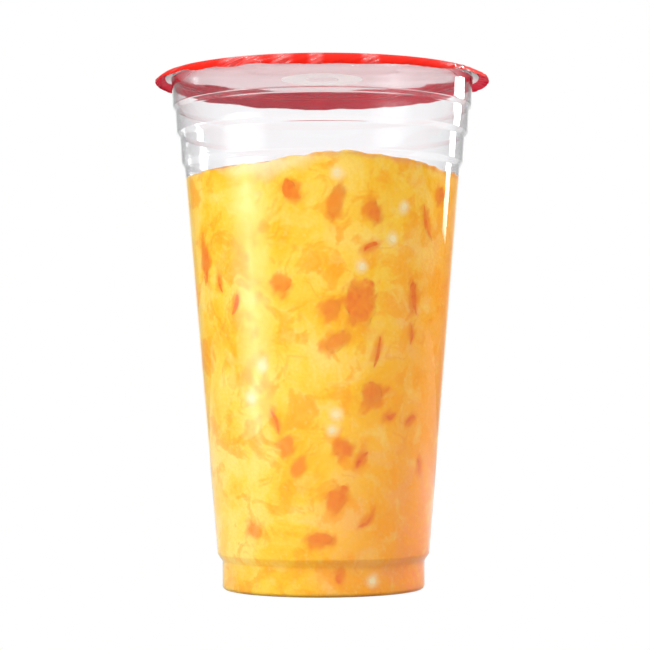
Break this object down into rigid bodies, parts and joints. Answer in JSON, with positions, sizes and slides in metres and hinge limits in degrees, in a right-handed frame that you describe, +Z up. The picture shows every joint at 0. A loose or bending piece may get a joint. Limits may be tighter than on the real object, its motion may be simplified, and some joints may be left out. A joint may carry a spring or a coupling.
{
  "type": "sealed slush drink cup",
  "caption": "Clear tapered take-away cup with stepped collars and a stacking foot, filled with mango slush and fruit pieces, its rim closed by a peelable red sealing film.",
  "frame": {"origin": "centre of the foot's bottom plane, on the cup's axis", "axes": "+Z up along the cup's axis, -Y the front that is seen, +X to the right of it"},
  "size_m": [0.101, 0.0984, 0.1542],
  "materials": {
    "cup": "clear, glossy injection-moulded polypropylene",
    "film": "glossy printed lidding film, red above, pale inside",
    "slush": "frosty, translucent, fine-grained ice in fruit syrup",
    "fruit_lump": "wet, soft fruit",
    "fruit_shred": "wet, fibrous fruit",
    "ice": "translucent frosty ice"
  },
  "bodies": {
    "cup": {"cup": "cup", "slush": "slush", "ice_grain_01": "ice", "ice_grain_02": "ice", "ice_grain_03": "ice", "ice_grain_04": "ice", "ice_grain_05": "ice", "ice_grain_06": "ice", "ice_grain_07": "ice", "ice_grain_08": "ice", "ice_grain_09": "ice", "mango_lump_01": "fruit_lump", "mango_lump_02": "fruit_lump", "mango_lump_03": "fruit_lump", "mango_lump_04": "fruit_lump", "mango_lump_05": "fruit_lump", "mango_lump_06": "fruit_lump", "mango_lump_07": "fruit_lump", "mango_lump_08": "fruit_lump", "mango_lump_09": "fruit_lump", "mango_lump_10": "fruit_lump", "mango_lump_11": "fruit_lump", "mango_lump_12": "fruit_lump", "mango_lump_13": "fruit_lump", "mango_lump_14": "fruit_lump", "mango_lump_15": "fruit_lump", "mango_lump_16": "fruit_lump", "mango_lump_17": "fruit_lump", "mango_lump_18": "fruit_lump", "mango_lump_19": "fruit_lump", "mango_lump_20": "fruit_lump", "mango_lump_21": "fruit_lump", "mango_shred_01": "fruit_shred", "mango_shred_02": "fruit_shred", "mango_shred_03": "fruit_shred", "mango_shred_04": "fruit_shred", "mango_shred_05": "fruit_shred", "mango_shred_06": "fruit_shred", "mango_shred_07": "fruit_shred", "mango_shred_08": "fruit_shred", "mango_shred_09": "fruit_shred", "mango_shred_10": "fruit_shred", "mango_shred_11": "fruit_shred", "mango_shred_12": "fruit_shred", "mango_shred_13": "fruit_shred", "mango_shred_14": "fruit_shred", "mango_shred_15": "fruit_shred", "mango_shred_16": "fruit_shred", "mango_shred_17": "fruit_shred"},
    "film": {"seal_film": "film"}
  },
  "joints": [
    {"name": "film_peel", "type": "hinge", "parent": "cup", "child": "film", "pos_m": [0, 0.04915, 0.15105], "axis": [-1, 0, 0], "range_deg": [0, 150]}
  ]
}
